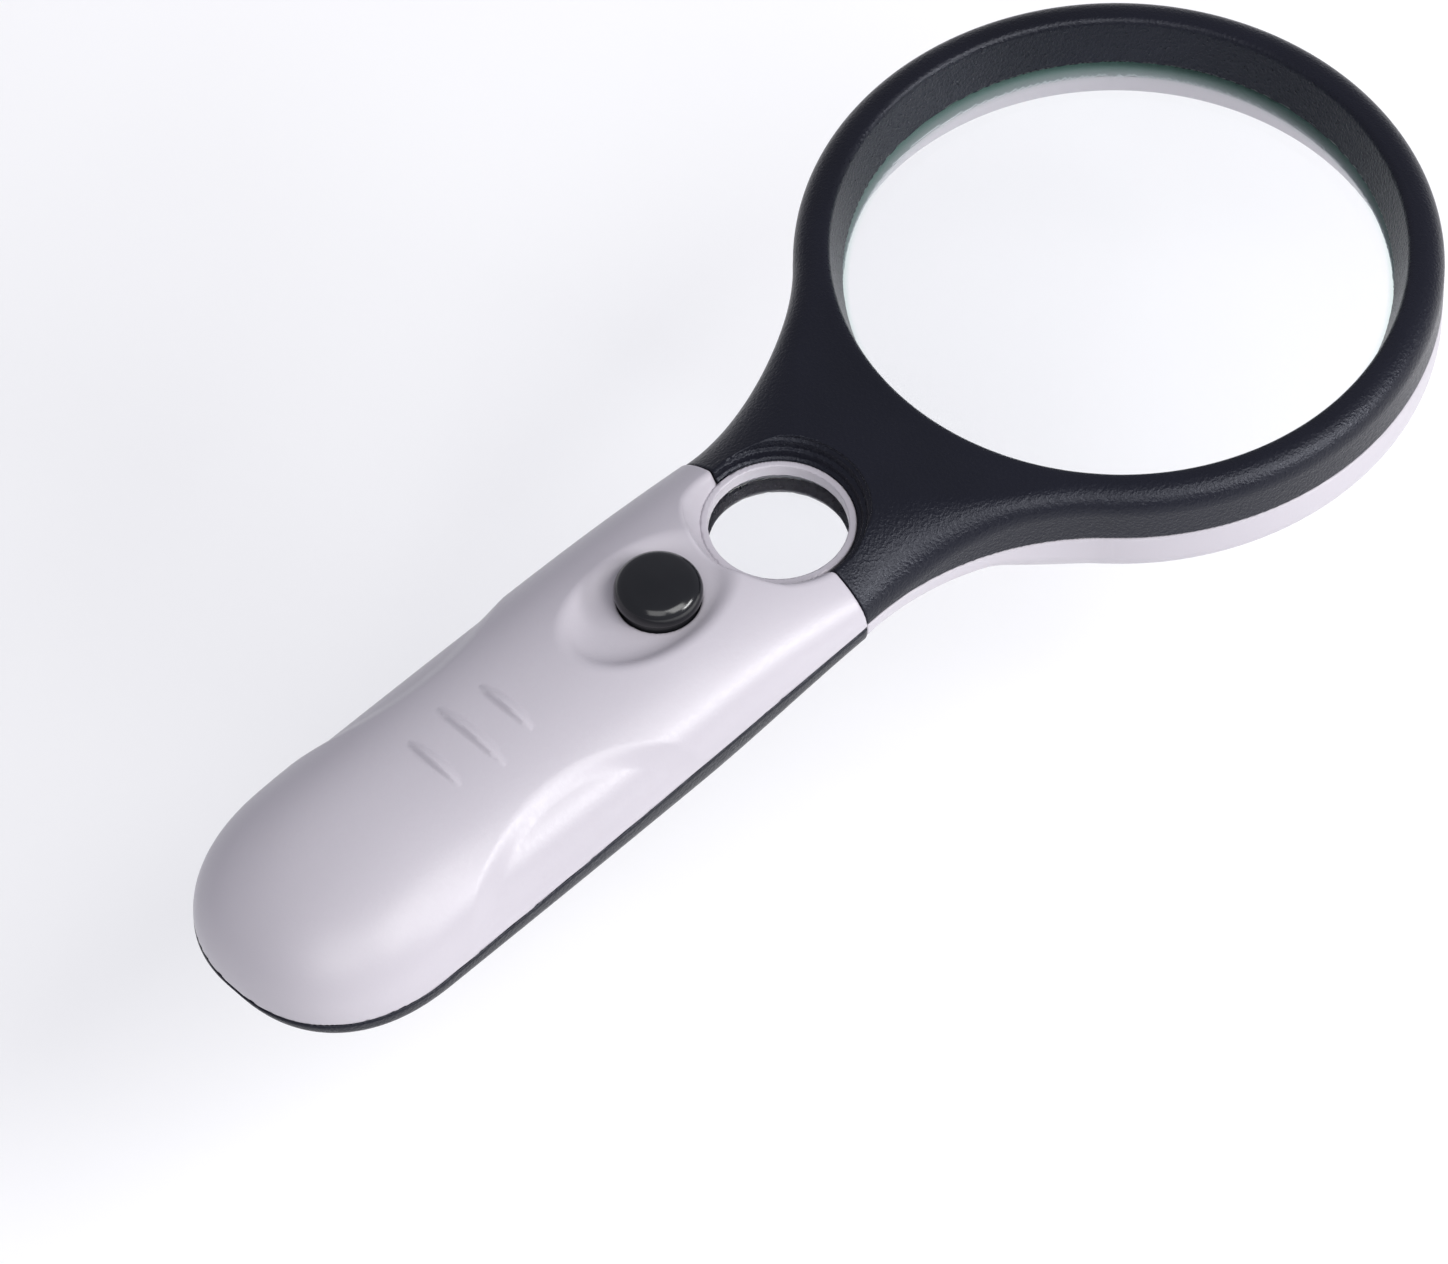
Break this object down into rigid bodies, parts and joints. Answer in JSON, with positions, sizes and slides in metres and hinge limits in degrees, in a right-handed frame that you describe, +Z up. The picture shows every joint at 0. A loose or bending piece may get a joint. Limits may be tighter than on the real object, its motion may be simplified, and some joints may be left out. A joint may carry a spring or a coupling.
{
  "type": "low vision magnifier",
  "caption": "Hand-held lighted magnifier: a large round lens in a two-part ring, a small strong lens in the neck, and a hollow battery handle with a push button.",
  "frame": {"origin": "on the surface that the magnifier lies on, under the middle of its bounding box", "axes": "+X from the butt of the handle to the tip of the ring, +Y to the left, +Z up through the button and the lenses"},
  "size_m": [0.195, 0.083, 0.0197],
  "materials": {
    "black_plastic": "fine spark texture, satin",
    "white_plastic": "satin, slightly cool white",
    "clear_lens": "polished clear acrylic",
    "gloss_black": "smooth gloss",
    "switch_nylon": "moulded nylon",
    "board_green": "solder-masked laminate",
    "lamp_resin": "clear epoxy lamp body",
    "resistor_beige": "dipped coating",
    "cell_sleeve": "plain shrink sleeve with bare metal ends",
    "spring_steel": "nickel-plated spring steel",
    "red_wire": "soft insulation",
    "black_wire": "soft insulation",
    "screw_steel": "zinc-plated"
  },
  "bodies": {
    "handle": {"front_ring_cover": "black_plastic", "rear_ring_cover": "white_plastic", "main_lens": "clear_lens", "small_lens": "clear_lens", "handle_top_shell": "white_plastic", "handle_bottom_shell": "black_plastic", "push_switch": "switch_nylon", "circuit_board": "board_green", "lamp_board": "board_green", "led_lamp_1": "lamp_resin", "led_lamp_2": "lamp_resin", "led_lamp_3": "lamp_resin", "resistor": "resistor_beige", "aaa_cell_left": "cell_sleeve", "aaa_cell_middle": "cell_sleeve", "aaa_cell_right": "cell_sleeve", "front_positive_contact": "spring_steel", "front_bridge_contact": "spring_steel", "rear_bridge_contact": "spring_steel", "rear_negative_contact": "spring_steel", "battery_wire_positive": "red_wire", "battery_wire_negative": "black_wire", "lamp_wire_positive": "red_wire", "lamp_wire_negative": "black_wire", "neck_screw_left": "screw_steel", "neck_screw_right": "screw_steel", "handle_screw_left": "screw_steel", "handle_screw_right": "screw_steel", "butt_screw": "screw_steel"},
    "button": {"button_cap": "gloss_black", "switch_plunger": "switch_nylon"},
    "door": {"battery_door": "black_plastic"}
  },
  "joints": [
    {"name": "button_press", "type": "slide", "parent": "handle", "child": "button", "axis": [0, 0, -1], "range_m": [0, 0.0009], "stiffness_N_per_m": 500, "springref_m": -0.001},
    {"name": "door_hinge", "type": "hinge", "parent": "handle", "child": "door", "pos_m": [-0.0342, 0, 0.0003], "axis": [0, -1, 0], "range_deg": [0, 70]}
  ]
}
